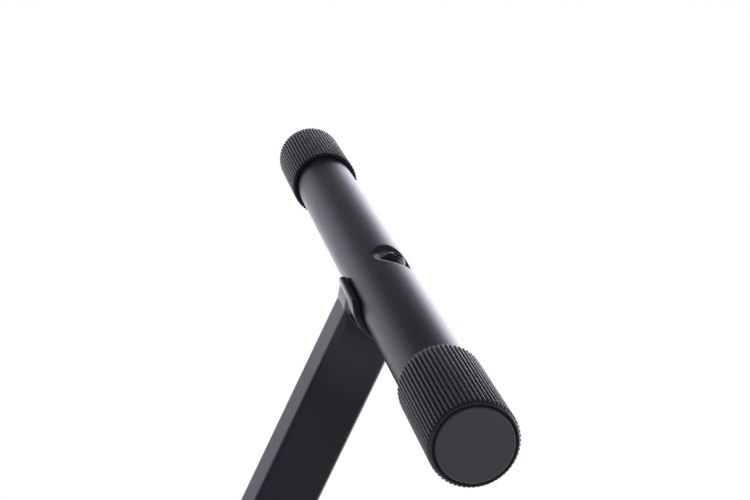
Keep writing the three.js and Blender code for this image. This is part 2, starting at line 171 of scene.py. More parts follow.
class SaddleSizes(bpy.types.PropertyGroup):
    """The moulded saddles between legs and tubes."""

    radius: length("Radius", "Outer radius of the trough", 19.8)
    bed: length("Bed", "Radius of the bed that the tube lies in", 16.15)
    wrap: angle("Wrap", "How far the trough reaches up each side of the tube", 73)
    front: length("Front", "From the leg's middle to the trough's long end, past the leg", 33)
    rear: length("Rear", "From the leg's middle to the end that is flush with the leg", 12.5)
    corner: length("Corner", "Corner radius of the long end's outline", 10)
    rear_corner: length("Rear corner", "Corner radius of the flush end's outline", 6.5)
    nose: length("Nose", "Round on the outer edge of the long end", 2.7)
    flare: length("Flare", "How far the neck widens to each side", 2.7)
    spigot: length("Spigot", "From the tube's axis to the spigot's end in the leg", 43.5)


class BoltSizes(bpy.types.PropertyGroup):
    """The domed bolts sunk in the dimples."""

    head: length("Head", "Radius of the domed head", 5.6)
    height: length("Height", "Height of the domed head", 5.2)
    shank: length("Shank", "Radius of the shank", 4)
    socket: length("Socket", "Radius of the hexagon socket over its corners", 2.9)
    socket_depth: length("Socket depth", "Depth of the hexagon socket", 2.4)
    end: length("End", "From the tube's axis down to the end of the shank", 53)


class ClutchSizes(bpy.types.PropertyGroup):
    """The toothed discs between the legs, and the weld beads that hold them."""

    radius: length("Radius", "Outer radius of the discs", 31)
    inner: length("Inner", "Inner radius of the teeth", 17)
    teeth: count("Teeth", "Number of teeth on each disc", 24)
    tooth_height: length("Tooth height", "Height of a tooth", 2.8)
    root: angle("Root", "Half of the angle that a tooth fills at its root", 5.6)
    tip: angle("Tip", "Half of the angle that a tooth fills at its tip", 1.9)
    bore: length("Bore", "Radius of the bore for the pivot bolt", 5.4)
    pocket: length("Pocket", "Radius of the spring's pocket", 12)
    pocket_depth: length("Pocket depth", "Depth of the spring's pocket", 5)
    bead: length("Bead", "Radius of the weld beads on the back of the disc", 1.9)
    spring: length("Spring", "Middle radius of the spring's coils", 9.2)
    wire: length("Wire", "Radius of the spring's wire", 0.88)
    coils: count("Coils", "Number of turns in the spring", 4)
    travel: length("Travel", "How far the clutch closes and the spring shortens", 3)


class PivotSizes(bpy.types.PropertyGroup):
    """The cup-headed pivot bolt, its washer and the hand knob."""

    shank: length("Shank", "Radius of the pivot bolt's shank", 5)
    head: length("Head", "Radius of the cup head", 12)
    head_height: length("Head height", "Height of the cup head", 5)
    neck: length("Neck", "Side of the square neck", 10)
    knob: length("Knob", "Middle radius of the knob's lobed grip", 28)
    lobe: length("Lobe", "Height of the lobes", 3.5)
    lobes: count("Lobes", "Number of lobes round the grip", 6)
    hub: length("Hub", "Radius of the knob's hub", 15)
    hub_height: length("Hub height", "Height of the hub behind the grip", 8)
    pocket: length("Insert pocket", "Radius of the pocket for the threaded insert", 8.3)


class Finishes(bpy.types.PropertyGroup):
    """Base colours of the finishes."""

    __annotations__ = {slot: colour(slot) for slot in BASE_COLOUR}


class StandSettings(bpy.types.PropertyGroup):
    """Everything that can be changed on the stand."""

    tube: PointerProperty(type=TubeSizes, name="Tube")
    leg: PointerProperty(type=LegSizes, name="Leg")
    cap: PointerProperty(type=CapSizes, name="Cap")
    saddle: PointerProperty(type=SaddleSizes, name="Saddle")
    bolt: PointerProperty(type=BoltSizes, name="Bolt")
    clutch: PointerProperty(type=ClutchSizes, name="Clutch")
    pivot: PointerProperty(type=PivotSizes, name="Pivot")
    finish: PointerProperty(type=Finishes, name="Finish")


# ---- places from the frame


def middle(node):
    """The middle of a node's box."""
    low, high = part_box(node)
    return np.array((low + high) / 2)


def reach(node):
    """A node's lowest and highest Y."""
    low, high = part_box(node)
    return low.y, high.y


class Place:
    """A local frame: an origin, a direction that is up, and Y as it is in the stand."""

    def __init__(self, origin, up):
        self.origin = np.array(origin, float)
        self.up = np.array(up, float) / np.linalg.norm(up)
        self.right = np.array([self.up[2], 0.0, -self.up[0]])

    def put(self, points):
        """Local points as points of the stand: origin + x right + y Y + z up."""
        points = np.asarray(points)
        back = np.array([0.0, 1.0, 0.0])
        turned_points = points[..., :1] * self.right + points[..., 1:2] * back
        return self.origin + turned_points + points[..., 2:] * self.up


def tube_place(tube):
    """The frame of an arm or foot: on its axis at the leg's middle, with up away from the leg."""
    side, _, other = TUBE_ENDS[tube]
    axis = middle(f"{tube}_tube")
    up = axis - middle(f"{other}_tube")
    axis[1] = middle(f"{side}_leg_tube")[1]
    return Place(axis, [up[0], 0, up[2]])


def leg_place(side):
    """The frame of a leg: at its middle, with up along it, and its length between the tubes."""
    arm, foot = (middle(f"{tube}_tube") for tube in LEG_ENDS[side])
    between = arm - foot
    origin = (arm + foot) / 2
    origin[1] = middle(f"{side}_leg_tube")[1]
    return Place(origin, [between[0], 0, between[2]]), math.hypot(between[0], between[2])


def pivot_place():
    """The frame of the pivot: on its axis at y = 0, turned as the front leg is."""
    place, _ = leg_place("front")
    fold = next(joint for joint in frame["joints"] if joint["name"] == "fold")
    return Place([fold["pos_m"][0], 0, fold["pos_m"][2]], place.up)


# ---- shapes as arrays


def smooth_step(low, high, value):
    """0 below low, 1 above high, and the cubic 3t^2 - 2t^3 between them."""
    t = np.clip((value - low) / (high - low), 0, 1)
    return t * t * (3 - 2 * t)


def soft_min(first, second, blend):
    """The lower of two arrays, less the parabola blend (1 - gap / blend)^2 / 4 where they meet."""
    overlap = np.clip(1 - np.abs(first - second) / blend, 0, None)
    return np.minimum(first, second) - blend * overlap**2 / 4


def soft_max(first, second, blend):
    """The higher of two arrays, with the same parabola where they meet."""
    return -soft_min(-first, -second, blend)


def rounded(corners, radii, steps=4, closed=False):
    """A line through corners that are rounded off. A corner c becomes the quadratic curve
    (1-t)^2 a + 2t(1-t) c + t^2 b, whose ends a and b lie the corner's radius along both sides.
    The first two columns are the place, and any others are carried along with it."""
    corner = np.asarray(corners, float)
    radius = np.broadcast_to(np.asarray(radii, float), (len(corner),)).copy()
    if not closed:
        radius[[0, -1]] = 0
    tangents = []
    for neighbour in (np.roll(corner, 1, axis=0), np.roll(corner, -1, axis=0)):
        side = neighbour - corner
        size = np.linalg.norm(side[:, :2], axis=1, keepdims=True)
        tangents.append(corner + radius[:, None] * side / np.maximum(size, 1e-12))
    t = np.linspace(0, 1, steps + 1)[None, :, None]
    start, end = (tangent[:, None] for tangent in tangents)
    curve = (1 - t) ** 2 * start + 2 * t * (1 - t) * corner[:, None] + t**2 * end
    line = curve.reshape(-1, corner.shape[1])
    moved = np.linalg.norm(np.diff(line[:, :2], axis=0), axis=1) > 1e-9
    return line[np.concatenate([[True], moved])]


def around(segments):
    """Angles evenly round a circle."""
    return np.arange(segments) * 2 * np.pi / segments


def swept(radius, along, turn, axis="y"):
    """Points at a radius r, a place along Y or Z and an angle a: across = r sin a, up = r cos a."""
    radius, along, turn = np.broadcast_arrays(radius, along, turn)
    across, up = radius * np.sin(turn), radius * np.cos(turn)
    return np.stack((across, along, up) if axis == "y" else (across, up, along), axis=-1)


def columns_of(profile):
    """The columns of a profile, ready to be combined with a row of angles."""
    return (column[:, None] for column in np.asarray(profile, float).T)


def lathed(corners, steps=4, closed=False):
    """The rounded columns of corners (radius, place, share, rounding in millimetres). The share
    says how far a row has what the shape adds round its profile, such as ribs, teeth or lobes."""
    sizes = [corner[3] * MM for corner in corners]
    return columns_of(rounded([corner[:3] for corner in corners], sizes, steps, closed))


def turned(profile, segments, axis="y"):
    """A profile of radius and height turned about Y or Z."""
    return swept(*columns_of(profile), around(segments), axis)


def rounded_rectangle(width, depth, corner, arc=8, side=14):
    """Points round a rectangle: a quarter circle about each corner's centre, then a straight
    line to the next one."""
    quarter = np.arange(4)[:, None] * np.pi / 2
    turn = quarter + np.linspace(0, np.pi / 2, arc + 1)[None, :]
    sign = np.array([[1, 1], [-1, 1], [-1, -1], [1, -1]])
    centre = sign * np.array([width / 2 - corner, depth / 2 - corner])
    arcs = centre[:, None] + corner * np.stack([np.cos(turn), np.sin(turn)], axis=-1)
    following = np.roll(arcs[:, 0], -1, axis=0)
    t = np.linspace(0, 1, side + 2)[None, 1:-1, None]
    sides = arcs[:, -1][:, None] * (1 - t) + following[:, None] * t
    return np.concatenate([arcs, sides], axis=1).reshape(-1, 2)


def spread(low, high, dense_low, dense_high, fine, coarse):
    """Values from low to high, at fine steps between the dense limits and coarse steps outside."""
    parts = [
        np.linspace(low, dense_low, max(2, int((dense_low - low) / coarse) + 1))[:-1],
        np.linspace(dense_low, dense_high, int((dense_high - dense_low) / fine) + 1),
        np.linspace(dense_high, high, max(2, int((high - dense_high) / coarse) + 1))[1:],
    ]
    return np.concatenate(parts)


# ---- meshes and pieces


class Grid:
    """Rows of points as faces. Columns close on themselves, rows do if they are a loop, and a lid closes an open
    first or last row. Each point carries a value for wear and painted light: wear on the bolts, clutch teeth and
    knob lobes, painted shade and painted highlight on the caps, and part bare-metal wear, part painted highlight
    on the legs' cut edges."""

    def __init__(self, points, loop=False, lids=False, wear=0.0):
        self.points = points
        self.wear = np.broadcast_to(wear, points.shape[:2])
        rows, columns = points.shape[:2]
        row = np.arange(rows if loop else rows - 1)[:, None]
        column = np.arange(columns)[None, :]
        below, after = (row + 1) % rows, (column + 1) % columns
        corners = (
            row * columns + column,
            row * columns + after,
            below * columns + after,
            below * columns + column,
        )
        self.faces = np.stack(corners, axis=-1).reshape(-1, 4).tolist()
        if lids:
            last = (rows - 1) * columns
            self.faces.append(list(range(columns)))
            self.faces.append(list(range(last, last + columns)))


def mesh_of(name, grids, sharp=35.0):
    """One mesh from grids: poles and seams merged, faces outwards, sharp edges marked."""
    mesh = bpy.data.meshes.new(name)
    vertices, faces = [], []
    for grid in grids:
        start = sum(len(part) for part in vertices)
        vertices.append(grid.points.reshape(-1, 3))
        faces += [[start + corner for corner in face] for face in grid.faces]
    mesh.from_pydata(np.concatenate(vertices).tolist(), [], faces)
    # the value for wear and painted light: wear on bolts, clutch teeth and knob lobes, painted shade and highlight
    # on the caps and the legs' cut edges
    wear = mesh.attributes.new("wear", "FLOAT", "POINT")
    wear.data.foreach_set("value", np.concatenate([g.wear.ravel() for g in grids]).astype("f4"))
    work = bmesh.new()
    work.from_mesh(mesh)
    bmesh.ops.remove_doubles(work, verts=work.verts, dist=1e-6)
    bmesh.ops.recalc_face_normals(work, faces=work.faces)
    if work.calc_volume(signed=True) < 0:
        bmesh.ops.reverse_faces(work, faces=work.faces)
    work.to_mesh(mesh)
    work.free()
    mesh.shade_smooth()
    mesh.set_sharp_from_angle(angle=math.radians(sharp))
    return mesh


def combined(name, meshes, operation, sharp=35.0):
    """The first mesh joined with the others (UNION) or cut by them (DIFFERENCE)."""
    objects = [bpy.data.objects.new(f"{name}_{i}", mesh) for i, mesh in enumerate(meshes)]
    for made in objects:
        bpy.context.scene.collection.objects.link(made)
    for tool in objects[1:]:
        boolean = objects[0].modifiers.new("combine", "BOOLEAN")
        boolean.object = tool
        boolean.operation = operation
        boolean.solver = "EXACT"
    graph = bpy.context.evaluated_depsgraph_get()
    result = bpy.data.meshes.new_from_object(objects[0].evaluated_get(graph))
    result.name = name
    for made in objects:
        bpy.data.objects.remove(made)
    result.shade_smooth()
    result.set_sharp_from_angle(angle=math.radians(sharp))
    return result


def finished(node, mesh, name=None):
    """A finished piece that stands for a node, or with a name of its own lies beside it."""
    made = bpy.data.objects.new(name or f"{node}_finished", mesh)
    bpy.context.scene.collection.objects.link(made)
    mesh.materials.clear()
    mesh.materials.append(material(SLOT[node]))
    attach(made, BODY[node])
    if name is None:
        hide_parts(node)
    return made


# ---- material nodes


class Wire:
    """The output of a node. Sums, products and powers of wires and numbers add Math nodes."""

    def __init__(self, paint, socket):
        self.paint = paint
        self.socket = socket

    def math(self, operation, *values):
        return self.paint.node("ShaderNodeMath", {"operation": operation}, values)

    def __add__(self, other):
        return self.math("ADD", self, other)

    def __radd__(self, other):
        return self.math("ADD", other, self)

    def __sub__(self, other):
        return self.math("SUBTRACT", self, other)

    def __rsub__(self, other):
        return self.math("SUBTRACT", other, self)

    def __mul__(self, other):
        return self.math("MULTIPLY", self, other)

    def __rmul__(self, other):
        return self.math("MULTIPLY", other, self)

    def __truediv__(self, other):
        return self.math("DIVIDE", self, other)

    def __pow__(self, other):
        return self.math("POWER", self, other)

    def between(self, low, high):
        """0 where the wire is low and 1 where it is high, and smooth between them."""
        settings = {"interpolation_type": "SMOOTHSTEP"}
        return self.paint.node("ShaderNodeMapRange", settings, (self, low, high, 0.0, 1.0))


class Paint:
    """The nodes of one material or of the world."""

    def __init__(self, owner):
        owner.use_nodes = True
        self.tree = owner.node_tree
        self.tree.nodes.clear()

    def node(self, kind, settings=None, inputs=(), output=0):
        """Adds a node of a kind, with its settings and then the values or links of its inputs."""
        made = self.tree.nodes.new(kind)
        for name, value in (settings or {}).items():
            setattr(made, name, value)
        pairs = inputs.items() if isinstance(inputs, dict) else enumerate(inputs)
        for name, value in pairs:
            socket = made.inputs[name]
            if isinstance(value, Wire):
                self.tree.links.new(value.socket, socket)
            else:
                socket.default_value = value
        return Wire(self, made.outputs[output] if len(made.outputs) else None)

    def position(self):
        return self.node("ShaderNodeTexCoord", output="Object")

    def outputs(self, kind, names, inputs=()):
        """The named outputs of a new node."""
        sockets = self.node(kind, None, inputs).socket.node.outputs
        return [Wire(self, sockets[name]) for name in names]

    def rays(self):
        """Whether a ray sees the stage as it is, and whether it comes from a reflection."""
        names = ["Is Camera Ray", "Is Transmission Ray", "Is Glossy Ray"]
        camera, through, glossy = self.outputs("ShaderNodeLightPath", names)
        return camera.math("MAXIMUM", camera, through), glossy

    def noise(self, scale, detail=2.0, roughness=0.5):
        """Noise over the object, with its scale in waves to the metre."""
        inputs = {
            "Vector": self.position(),
            "Scale": scale,
            "Detail": detail,
            "Roughness": roughness,
        }
        return self.node("ShaderNodeTexNoise", None, inputs)

    def cells(self, scale, feature="F1"):
        """Distance to the nearest of many scattered points, at so many cells to the metre."""
        inputs = {"Vector": self.position(), "Scale": scale}
        return self.node("ShaderNodeTexVoronoi", {"feature": feature}, inputs)

    def wear(self):
        """The value that a piece's mesh gives to each of its points, for wear and for painted shade and highlight.
        """
        return self.node("ShaderNodeAttribute", {"attribute_name": "wear"}, output="Fac")

    def mix(self, factor, first, second):
        """From the first colour to the second."""
        inputs = {0: factor, 6: first, 7: second}
        return self.node("ShaderNodeMix", {"data_type": "RGBA"}, inputs, output=2)

    def bump(self, height, depth, strength=1.0):
        """A normal from a height of 0 to 1, with the depth in metres."""
        inputs = {"Height": height, "Distance": depth, "Strength": strength}
        return self.node("ShaderNodeBump", None, inputs)

    def surface(self, tone, roughness, normal, constants=()):
        """A principled surface, with any constants under the names of their sockets."""
        inputs = {"Base Color": tone, "Roughness": roughness, "Normal": normal, **dict(constants)}
        shader = self.node("ShaderNodeBsdfPrincipled", None, inputs)
        self.node("ShaderNodeOutputMaterial", None, {"Surface": shader})


def shade(base, factor):
    """A colour made lighter or darker, with full alpha."""
    return tuple(min(1.0, channel * factor) for channel in base[:3]) + (1.0,)


# ---- finishes


def powder_coat(paint, base):
    """Satin powder coat: a faint orange peel, fine grain, and cut edges painted lighter, part bare metal and part
    painted highlight.
    """
    peel = paint.noise(850.0, 2.0)
    grain = paint.noise(4200.0, 1.0)
    cloud = paint.noise(28.0, 3.0)
    tone = paint.mix(cloud.between(0.3, 0.7), shade(base, 0.86), shade(base, 1.12))
    # painted highlight: the cut edges are mixed far lighter, part for bare metal and part for the highlight on
    # them
    edge = paint.wear().between(0.4, 0.9)
    paint.surface(
        paint.mix(edge, tone, shade(base, 2.6)),
        0.27 + cloud * 0.04 + grain * 0.04 - edge * 0.05,
        paint.bump(peel * 0.7 + grain * 0.3, 0.00005, 0.25),
        {"Specular IOR Level": 0.55, "IOR": 1.55},
    )


def cap_rubber(paint, base):
    """Moulded rubber: a fine matt grain, painted shade on the grooves, the flanks of the ribs and the recesses
    behind the end face, and the crests of the ribs polished, with a painted highlight.
    """
    grain = paint.noise(3600.0, 3.0, 0.6)
    speck = paint.noise(1900.0, 1.0)
    # the crests: a lower roughness for polish, and a painted highlight that lightens their colour
    crest_polish_and_highlight = paint.wear().between(0.5, 1.0)
    plain = paint.mix(speck.between(0.35, 0.7), shade(base, 1.2), shade(base, 1.5))
    # painted shade: where the value is low, in the grooves, on the rib flanks and behind the end face, the tone
    # falls to 0.3 of the base
    tone = paint.mix(paint.wear().between(0.0, 0.45), shade(base, 0.3), plain)
    paint.surface(
        # painted highlight: the crests are mixed towards a lighter tone
        paint.mix(crest_polish_and_highlight * 0.5, tone, shade(base, 1.2)),
        0.38 - crest_polish_and_highlight * 0.1 + grain * 0.04,
        paint.bump(grain, 0.00003, 0.12),
    )


def moulded_black(paint, base):
    """Semi-gloss moulded plastic with a slow ripple of the mould and faint flow marks."""
    ripple = paint.noise(160.0, 2.0)
    grain = paint.noise(2600.0, 2.0)
    tone = paint.mix(ripple.between(0.3, 0.7), shade(base, 0.85), shade(base, 1.15))
    paint.surface(
        tone,
        0.16 + ripple * 0.06 + grain * 0.05,
        paint.bump(ripple * 0.6 + grain * 0.4, 0.00006, 0.3),
    )


def dark_steel(paint, base):
    """Blackened steel: mottled oxide, worn brighter on raised edges."""
    mottle = paint.noise(900.0, 4.0, 0.6)
    scratch = paint.noise(5200.0, 1.0)
    edge = paint.wear()
    tone = paint.mix(mottle.between(0.3, 0.7), shade(base, 0.75), shade(base, 1.25))
    paint.surface(
        paint.mix(edge * 0.6, tone, shade(base, 2.2)),
        0.3 + mottle * 0.14,
        paint.bump(mottle * 0.5 + scratch * 0.5, 0.00003, 0.3),
        {"Metallic": 0.9},
    )


def zinc_plate(paint, base):
    """Bright zinc plate with a slow change of tint and fine drawing marks."""
    tint = paint.noise(60.0, 3.0)
    marks = paint.noise(2400.0, 3.0, 0.6)
    warm = (base[0] * 1.05, base[1] * 0.99, base[2] * 0.88, 1.0)
    paint.surface(
        paint.mix(tint.between(0.35, 0.65), shade(base, 0.92), warm),
        0.26 + marks * 0.16,
        paint.bump(marks, 0.00003, 0.35),
        {"Metallic": 1.0},
    )


def cast_steel(paint, base):
    """Phosphated cast steel: a pitted, sandy skin, with the tips of the teeth rubbed bright."""
    sand = paint.noise(1500.0, 4.0, 0.65)
    pits = paint.cells(900.0)
    edge = paint.wear()
    tone = paint.mix(sand.between(0.3, 0.7), shade(base, 0.7), shade(base, 1.25))
    paint.surface(
        paint.mix(edge * 0.7, tone, shade(base, 2.8)),
        0.52 - edge * 0.16 + sand * 0.12,
        paint.bump(sand * 0.7 + pits * 0.3, 0.00012, 0.5),
        {"Metallic": 0.85},
    )


def knob_plastic(paint, base):
    """Fine-textured nylon: small raised cells, smoother on the worn lobes."""
    cells = paint.cells(1300.0, "SMOOTH_F1")
    cloud = paint.noise(45.0, 2.0)
    worn = paint.wear()
    tone = paint.mix(cloud.between(0.3, 0.7), shade(base, 0.9), shade(base, 1.2))
    paint.surface(
        tone,
        0.56 - worn * 0.14 + cells * 0.1,
        paint.bump(cells, 0.00009, 0.5),
        {"Specular IOR Level": 0.45},
    )


def brass_insert(paint, base):
    """Turned brass with fine tool marks."""
    marks = paint.noise(3000.0, 2.0)
    paint.surface(
        paint.mix(marks, shade(base, 0.85), shade(base, 1.08)),
        0.24 + marks * 0.14,
        paint.bump(marks, 0.00003, 0.3),
        {"Metallic": 1.0},
    )


FINISHES = (
    powder_coat,
    cap_rubber,
    moulded_black,
    dark_steel,
    zinc_plate,
    cast_steel,
    knob_plastic,
    brass_insert,
)
FINISH = {finish.__name__: finish for finish in FINISHES}


def material(slot):
    """The material of a slot, made the first time that it is asked for."""
    name = f"{slot}_finish"
    made = bpy.data.materials.get(name)
    if made is None:
        made = bpy.data.materials.new(name)
        base = getattr(bpy.context.scene.keyboard_stand.finish, slot)
        FINISH[slot](Paint(made), tuple(base))
    return made


# ---- tubes


def tube_wall(sizes, depth, y, turn):
    """The tube's wall at a depth under its outer face: the circle x = R sin a, z = R cos a, whose
    height is brought down to the dimple. The dimple's height is its floor, and past the floor's
    radius it rises at a steady slope. Soft minimum and maximum round its rim and its foot."""
    radius = sizes.radius - depth
    x, height = radius * np.sin(turn), radius * np.cos(turn)
    from_middle = np.hypot(x, y)
    floor = sizes.radius - sizes.dimple_depth - depth
    slope = sizes.dimple_depth / (sizes.dimple - sizes.dimple_floor)
    climb = slope * (from_middle - sizes.dimple_floor - 0.4 * depth)
    dimple = floor + soft_max(climb, 0 * climb, sizes.dimple_foot)
    height = np.where(height > 0, soft_min(height, dimple, sizes.dimple_blend), height)
    return np.stack(np.broadcast_arrays(x, y, height), axis=-1)


def dimpled_tube(sizes, front, rear):
    """A grid round the outer wall from front to rear and back along the bore."""
    dense, side = 1.7 * sizes.dimple, math.radians(66)
    y = spread(front, rear, -dense, dense, fine=0.35 * MM, coarse=40 * MM)[:, None]
    turn = spread(-np.pi, np.pi, -side, side, fine=0.02, coarse=0.1)[None, :-1]
    outer = tube_wall(sizes, 0.0, y, turn)
    inner = tube_wall(sizes, sizes.wall, y[::-1], turn)
    return np.concatenate([outer, inner])


def drilled(node, place, wall, radius, segments, axis):
    """Finishes a node as a closed wall with a round hole along an axis of its place."""
    half = 30 * MM
    profile = [(0, -half), (radius, -half), (radius, half), (0, half)]
    blank = mesh_of(f"{node}_blank", [wall])
    cutter = mesh_of(f"{node}_cutter", [Grid(place.put(turned(profile, segments, axis)))])
    finished(node, combined(node, [blank, cutter], "DIFFERENCE"))


class STAND_OT_tubes(bpy.types.Operator):
    """Makes the arms and feet: four round tubes, each with its dimple and bolt hole"""

    bl_idname = "keyboard_stand.tubes"
    bl_label = "Arms and feet"

    def execute(self, context):
        settings = context.scene.keyboard_stand
        for tube in TUBE_ENDS:
            node = f"{tube}_tube"
            place = tube_place(tube)
            front, rear = (y - place.origin[1] for y in reach(node))
            wall = Grid(place.put(dimpled_tube(settings.tube, front, rear)), loop=True)
            drilled(node, place, wall, settings.tube.hole, 32, "z")
        return {"FINISHED"}


# ---- legs


def coped_leg(sizes, between_axes):
    """A rectangular tube whose ends follow z = L/2 - sqrt(R^2 - x^2), the cope that clears the
    saddle. Rows go up the outer wall, over the rounded cut edge and down the inner wall."""

    def ring(section, share, back):
        cope = np.sqrt(sizes.cope**2 - section[:, 0] ** 2)
        height = share * (between_axes / 2 - cope - back)
        return np.column_stack([section, height])

    def section(inset):
        return rounded_rectangle(
            sizes.width - 2 * inset, sizes.depth - 2 * inset, sizes.corner - inset
        )

    outer, edge, inner = section(0), section(0.6 * sizes.edge), section(sizes.wall)
    steps = np.linspace(-1, 1, 15)
    rows = [ring(edge, -1, 0)]
    rows += [ring(outer, share, sizes.edge) for share in steps]
    rows += [ring(edge, 1, 0)]
    rows += [ring(inner, share, 0) for share in steps[::-1]]
    # the cut-edge rows get 1, which the powder coat paints lighter: part bare metal where the coat wears off, part
    # painted highlight
    wear = np.zeros((len(rows), 1))
    wear[[0, 1, len(steps), len(steps) + 1]] = 1
    return np.stack(rows), wear


class STAND_OT_legs(bpy.types.Operator):
    """Makes the two rectangular legs, coped at both ends and bored for the pivot"""

    bl_idname = "keyboard_stand.legs"
    bl_label = "Legs"

    def execute(self, context):
        settings = context.scene.keyboard_stand
        for side in LEG_ENDS:
            node = f"{side}_leg_tube"
            place, between_axes = leg_place(side)
            points, wear = coped_leg(settings.leg, between_axes)
            wall = Grid(place.put(points), loop=True, wear=wear)
            drilled(node, place, wall, settings.clutch.bore, 40, "y")
        return {"FINISHED"}


# ---- ribbed caps


def ribbed_cap(sizes, tube):
    """A closed cap about Y with its end face at y = 0 and its mouth at y = length. The radius is the profile's,
    less the rib depth times 1 - |cos(n a / 2)|, which gives rounded ribs between sharp grooves. The profile's
    third value says how much of the ribs a row has. The value for wear and painted light is 1 on the crests, for
    their polish and a painted highlight, 0 in the grooves, for painted shade, and falls from a half on the end
    face to nearly 0 behind it, which paints shade on the recessed ring, the mouth and the bore."""
    r, mouth, bed = sizes.radius, sizes.length, tube.radius + 0.12 * MM
    end, ring, disc = sizes.rib_end, sizes.ring, sizes.disc
    corners = [
        # radius, distance behind the end face, share of the ribs, rounding in millimetres
        (0, 4 * MM, 0, 0),
        (bed, 4 * MM, 0, 0.4),
        (bed, mouth - 0.5 * MM, 0, 0.1),
        (bed + 0.5 * MM, mouth, 0, 0.15),
        (r - sizes.rib_depth, mouth, 0, 0.05),
        (r, mouth, 1, 0.45),
        (r, end, 1, 0.5),
        (ring + 0.1 * MM, end - 0.5 * MM, 0, 0.1),
        (ring - 0.3 * MM, end - 1.5 * MM, 0, 0.3),
        (ring - 0.8 * MM, end - 1.6 * MM, 0, 0.2),
        (disc + 0.55 * MM, end - 0.9 * MM, 0, 0.2),
        (disc + 0.15 * MM, end - 0.9 * MM, 0, 0.2),
        (disc, 0, 0, 0.8),
        (disc - 2 * MM, 0.02 * MM, 0, 0.8),
        (disc - 3 * MM, 0.8 * sizes.dish, 0, 0.8),
        (0, sizes.dish, 0, 0),
    ]
    radius, y, share = lathed(corners)
    turn = around(10 * sizes.ribs)
    crest = np.abs(np.cos(sizes.ribs * turn / 2))
    points = swept(radius - share * sizes.rib_depth * (1 - crest), y, turn)
    # painted shade: behind the end face the value falls to 0.08, darkening the ring round the disc, the mouth and
    # the bore; on the ribs it is crest^6, a painted highlight on the crests and painted shade on the flanks and
    # grooves
    smooth = 0.5 - 0.42 * smooth_step(0.4 * MM, 1.4 * MM, y)
    return points, smooth + share * (crest**6 - smooth)


class STAND_OT_caps(bpy.types.Operator):
    """Makes the eight ribbed caps on the ends of the arms and feet"""

    bl_idname = "keyboard_stand.caps"
    bl_label = "Ribbed caps"

    def execute(self, context):
        settings = context.scene.keyboard_stand
        points, wear = ribbed_cap(settings.cap, settings.tube)
        for tube in TUBE_ENDS:
            axis = middle(f"{tube}_tube")
            front, rear = reach(f"{tube}_front_cap")[0], reach(f"{tube}_rear_cap")[1]
            for end, y, inwards in (("front", front, 1), ("rear", rear, -1)):
                node = f"{tube}_{end}_cap"
                placed = points * [1, inwards, 1] + [axis[0], y, axis[2]]
                finished(node, mesh_of(node, [Grid(placed, wear=wear)], sharp=40))
        return {"FINISHED"}


# ---- saddles


def trough(sizes):
    """The saddle's cradle. A closed section, with a round nose at its front end, is carried round
    the tube: x = r sin a, z = -r cos a. Both ends are drawn in along the quarter circles
    c - sqrt(c^2 - s^2) of their corners, and the section closes in on its middle over the last
    millimetres of the wrap."""
    bed, outer = sizes.bed, sizes.radius
    corners = [(bed, -sizes.front), (bed, sizes.rear), (outer, sizes.rear), (outer, -sizes.front)]
    radii = np.array([0.5 * MM, 0.7 * MM, 1.1 * MM, sizes.nose])
    section = rounded(corners, radii, steps=5, closed=True)

    rim = 1.7 * MM / outer
    flat = np.linspace(-1, 1, 61) * (sizes.wrap - rim)
    curl = np.sin(np.linspace(0, 0.47 * np.pi, 8))[1:]
    turn = np.concatenate([flat[0] - rim * curl[::-1], flat, flat[-1] + rim * curl])
    squeeze = np.sqrt(1 - np.concatenate([curl[::-1], 0 * flat, curl]) ** 2)[:, None]

    drawn_in = []
    for corner in (sizes.corner, sizes.rear_corner):
        past = np.clip(outer * (np.abs(turn) - sizes.wrap) + corner, 0, corner)
        drawn_in.append(0.8 * (corner - np.sqrt(corner**2 - past**2))[:, None])
    front, rear = (inwards + (1 - squeeze) * 0.8 * MM for inwards in drawn_in)
    along = section[:, 1] + 0 * squeeze
    y = along + np.where(along < 0, front, -rear)
    centre = 18.5 * MM
    radius = centre + (section[:, 0] - centre) * squeeze
    x, z = radius * np.sin(turn)[:, None], -radius * np.cos(turn)[:, None]
    return np.stack([x, y, z], axis=-1)


def neck(sizes, leg):
    """The wall that flares from the leg up into the trough. A row is the leg's section, widened
    at both sides by the flare times v and let out to the front, laid on the circle
    z = -sqrt(R^2 - x^2), whose R falls from the cope's to one inside the trough."""
    rows = []
    for v in np.linspace(0, 1, 12):
        wide, forward = sizes.flare * v, 5 * MM * v**2
        section = rounded_rectangle(
            leg.width + 2 * wide, leg.depth + forward, leg.corner + 3 * MM * v
        )
        section[:, 1] -= forward / 2
        radius = (leg.cope - 0.03 * MM) * (1 - v) + (sizes.radius - 0.5 * MM) * v
        height = -np.sqrt(np.maximum(radius**2 - section[:, 0] ** 2, 1e-8))
        rows.append(np.column_stack([section, height]))
    return np.stack(rows)


def spigot(sizes, leg):
    """The block inside the leg: its section, with a taper at the foot."""
    inset = leg.wall + 0.2 * MM
    top = -sizes.radius + 1.5 * MM
    levels = [(1.2 * MM, -sizes.spigot), (0, -sizes.spigot + 2 * MM), (0, top)]
    rows = []
    for taper, height in levels:
        section = rounded_rectangle(
            leg.width - 2 * (inset + taper),
            leg.depth - 2 * (inset + taper),
            corner=1.2 * MM,
            arc=4,
            side=3,
        )
        rows.append(np.column_stack([section, np.full(len(section), height)]))
    return np.stack(rows)


